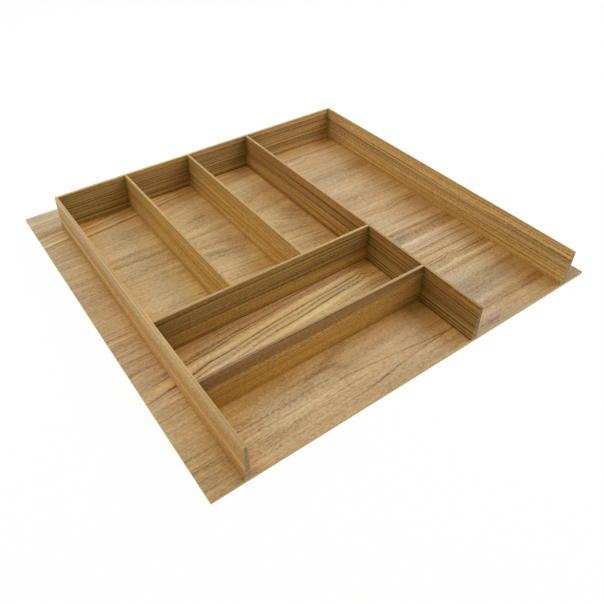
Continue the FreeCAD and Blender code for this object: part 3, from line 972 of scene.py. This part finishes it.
CORE_SURFACE = Surface(specular=0.15, roughness=0.66, mottle=0.12, relief=0.00008)
CORE_SPECK = Noise(0.0006, 0.0006, 31, swing=0.45, detail=3.0, roughness=0.7)
CORE_RING = Noise(0.006, 0.003, 32, swing=0.5)
CORE_COLOURS = [
    (0.0, srgb(100, 84, 58)),
    (0.5, srgb(151, 128, 95)),
    (1.0, srgb(199, 176, 138)),
]
# Tone of the strips' sawn ends by place across the tray: left wall, long divider, right wall
CORE_TONES = [(-0.213, 0.64), (0.063, 0.42), (0.213, 0.56)]
# and what is added to it at the foot and at the crest
CORE_FOOT_TONE, CORE_CREST_TONE = 0.10, -0.22


def strip_core():
    """Sawn end grain of the wedge under the veneer: grey-brown, speckled, with faint rings."""
    f = Finish("strip_core", CORE_SURFACE)
    x, y, z = f.place()
    place = f.vector(x, y, z)
    speck = f.blots(place, CORE_SPECK)
    ring = f.swung(place, CORE_RING)
    by_height = f.span(z, FOOT_HEIGHT, CREST_HEIGHT, CORE_FOOT_TONE, CORE_CREST_TONE)
    by_strip = f.course(x, CORE_TONES)
    tone = f.total(f.swing(speck, CORE_SPECK.swing), ring, by_height, by_strip)
    return f.finish(f.ramp(tone, CORE_COLOURS), speck, speck)


EDGE_SURFACE = Surface(specular=0.15, roughness=0.60, mottle=0.12, relief=0.00006)
EDGE_LAYER = Noise(0.05, 0.0012, 33, swing=0.45)
EDGE_SPECK = Noise(0.003, 0.0008, 34, swing=0.3, roughness=0.7)
EDGE_COLOURS = [
    (0.0, srgb(198, 166, 76)),
    (0.5, srgb(226, 202, 110)),
    (1.0, srgb(242, 224, 142)),
]


def base_core():
    """Golden sawn edge of the base panel, with fibres along it."""
    f = Finish("base_core", EDGE_SURFACE)
    x, y, z = f.place()
    layer = f.swung(f.vector(f.total(x, y), z, z), EDGE_LAYER)
    speck = f.blots(f.vector(x, y, z), EDGE_SPECK)
    tone = f.total(MEAN_TONE, layer, f.swing(speck, EDGE_SPECK.swing))
    return f.finish(f.ramp(tone, EDGE_COLOURS), speck, speck)


BACKING_SURFACE = Surface(specular=0.15, roughness=0.60, mottle=0.12, relief=0.00005)
BACKING_DRIFT = Noise(0.3, 0.1, 35, swing=0.015, detail=1.0)
BACKING_STREAK = Noise(0.25, 0.006, 36, swing=0.5, detail=3.0, roughness=0.6)
BACKING_FIBRE = Noise(0.03, 0.0009, 37, swing=0.15)
BACKING_COLOURS = [
    (0.0, srgb(92, 70, 44)),
    (0.5, srgb(130, 102, 66)),
    (1.0, srgb(168, 138, 96)),
]


def backing_veneer():
    """Plain sanded veneer on the underside, its grain across the tray."""
    f = Finish("backing_veneer", BACKING_SURFACE)
    x, y, z = f.place()
    drift = f.swung(f.vector(x, y, z), BACKING_DRIFT)
    grain = f.vector(x, f.total(y, drift), z)
    fibre = f.blots(grain, BACKING_FIBRE)
    tone = f.total(MEAN_TONE, f.swung(grain, BACKING_STREAK), f.swing(fibre, BACKING_FIBRE.swing))
    return f.finish(f.ramp(tone, BACKING_COLOURS), fibre, fibre)


STEEL_SURFACE = Surface(specular=0.5, roughness=0.32, mottle=0.12, relief=0.00002)
STEEL_TARNISH = Noise(0.002, 0.002, 38, swing=0.4, detail=3.0)
STEEL_SCRATCH = Noise(0.004, 0.0003, 39, swing=0.3)
STEEL_COLOURS = [
    (0.0, srgb(130, 124, 116)),
    (0.5, srgb(186, 184, 180)),
    (1.0, srgb(214, 212, 210)),
]


def brad_steel():
    """Bright drawn wire with faint scratches and a little tarnish."""
    f = Finish("brad_steel", STEEL_SURFACE)
    f.shader.inputs["Metallic"].default_value = 1.0
    x, y, z = f.place()
    place = f.vector(x, y, z)
    tarnish = f.blots(place, STEEL_TARNISH)
    scratch = f.blots(place, STEEL_SCRATCH)
    tone = f.total(MEAN_TONE, f.swing(tarnish, STEEL_TARNISH.swing), f.swing(scratch, STEEL_SCRATCH.swing))
    return f.finish(f.ramp(tone, STEEL_COLOURS), tarnish, scratch)


def dress(node, material, rounded=True):
    """Gives a CAD node its finish, and rounds its arrises a little."""
    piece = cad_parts[node]
    piece.data.materials.clear()
    piece.data.materials.append(material)
    if rounded:
        arris = piece.modifiers.new("arris", "BEVEL")
        arris.width = ARRIS_WIDTH
        arris.segments = ARRIS_STEPS
        arris.limit_method = "ANGLE"
        arris.angle_limit = ARRIS_ANGLE


def dress_tray():
    """Gives every node of the tray its finish."""
    dress("base_face_veneer", floor_veneer())
    dress("base_core", base_core(), rounded=False)
    dress("base_backing_veneer", backing_veneer())
    dress("base_brads", brad_steel(), rounded=False)
    core = strip_core()
    for strip in STRIPS:
        dress(strip.name + "_core", core, rounded=False)
        dress(strip.name + "_veneer", strip_veneer(strip))


def white_to_the_eye(nodes, links, lit, white):
    """A shader that the camera and mirror rays see partly as plain white, and other rays as it is."""
    path = nodes.new("ShaderNodeLightPath")
    seen = path.outputs["Is Camera Ray"]
    for ray in ("Is Glossy Ray", "Is Transmission Ray"):
        either = nodes.new("ShaderNodeMath")
        either.operation = "MAXIMUM"
        links.new(seen, either.inputs[0])
        links.new(path.outputs[ray], either.inputs[1])
        seen = either.outputs[0]
    share = nodes.new("ShaderNodeMath")
    share.operation = "MULTIPLY"
    links.new(seen, share.inputs[0])
    share.inputs[1].default_value = white
    glow = nodes.new("ShaderNodeEmission")
    glow.inputs["Strength"].default_value = 1.0
    blend = nodes.new("ShaderNodeMixShader")
    links.new(share.outputs[0], blend.inputs[0])
    links.new(lit, blend.inputs[1])
    links.new(glow.outputs[0], blend.inputs[2])
    return blend.outputs[0]


def add_stage():
    """A white floor that runs out of sight and keeps the tray's soft shadow."""
    half = STAGE_SIZE / 2
    corners = [(-half, -half), (half, -half), (half, half), (-half, half)]
    mesh = bpy.data.meshes.new("stage_floor")
    mesh.from_pydata([(x, y, -STAGE_DROP) for x, y in corners], [], [(0, 1, 2, 3)])
    floor = bpy.data.objects.new("stage_floor", mesh)
    bpy.context.scene.collection.objects.link(floor)
    paper = bpy.data.materials.new("stage_paper")
    paper.use_nodes = True
    nodes, links = paper.node_tree.nodes, paper.node_tree.links
    nodes.clear()
    lit = nodes.new("ShaderNodeBsdfDiffuse")
    lit.inputs["Color"].default_value = (STAGE_GREY, STAGE_GREY, STAGE_GREY, 1.0)
    out = nodes.new("ShaderNodeOutputMaterial")
    links.new(white_to_the_eye(nodes, links, lit.outputs[0], STAGE_GLOW), out.inputs["Surface"])
    mesh.materials.append(paper)


def add_surround():
    """An even warm light from all around, which looks white itself."""
    world = bpy.data.worlds.new("surround")
    bpy.context.scene.world = world
    world.use_nodes = True
    nodes, links = world.node_tree.nodes, world.node_tree.links
    nodes.clear()
    even = nodes.new("ShaderNodeBackground")
    even.inputs["Strength"].default_value = SURROUND_STRENGTH
    even.inputs["Color"].default_value = SURROUND_COLOUR
    out = nodes.new("ShaderNodeOutputWorld")
    links.new(white_to_the_eye(nodes, links, even.outputs[0], SURROUND_GLOW), out.inputs["Surface"])


def add_lamp(lamp):
    """A square soft lamp that faces the tray. Azimuth 0 is behind it and 90 on its right."""
    data = bpy.data.lights.new(lamp.name, "AREA")
    data.shape = "SQUARE"
    data.size = LAMP_SIZE
    data.energy = lamp.power
    data.color = LAMP_COLOUR
    around, above = math.radians(lamp.azimuth), math.radians(lamp.elevation)
    level = math.cos(above)
    out = Vector((math.sin(around) * level, math.cos(around) * level, math.sin(above)))
    piece = bpy.data.objects.new(lamp.name, data)
    piece.location = out * LAMP_DISTANCE
    piece.rotation_mode = "QUATERNION"
    piece.rotation_quaternion = (-out).to_track_quat("-Z", "Y")
    bpy.context.scene.collection.objects.link(piece)


def add_camera():
    """A camera that turns about the upright axis, tilts down and rolls a little."""
    data = bpy.data.cameras.new("camera")
    data.lens = CAMERA_LENS
    data.sensor_width = SENSOR_WIDTH
    camera = bpy.data.objects.new("camera", data)
    swing = Matrix.Rotation(math.radians(CAMERA_AZIMUTH), 4, "Z")
    tilt = Matrix.Rotation(math.radians(90.0 - CAMERA_ELEVATION), 4, "X")
    roll = Matrix.Rotation(math.radians(CAMERA_ROLL), 4, "Z")
    camera.matrix_world = Matrix.Translation(CAMERA_PLACE) @ swing @ tilt @ roll
    bpy.context.scene.collection.objects.link(camera)
    bpy.context.scene.camera = camera


bpy.context.scene.view_settings.view_transform = "Standard"
dress_tray()
add_stage()
add_surround()
for lamp in LAMPS:
    add_lamp(lamp)
add_camera()

bpy.context.view_layer.update()
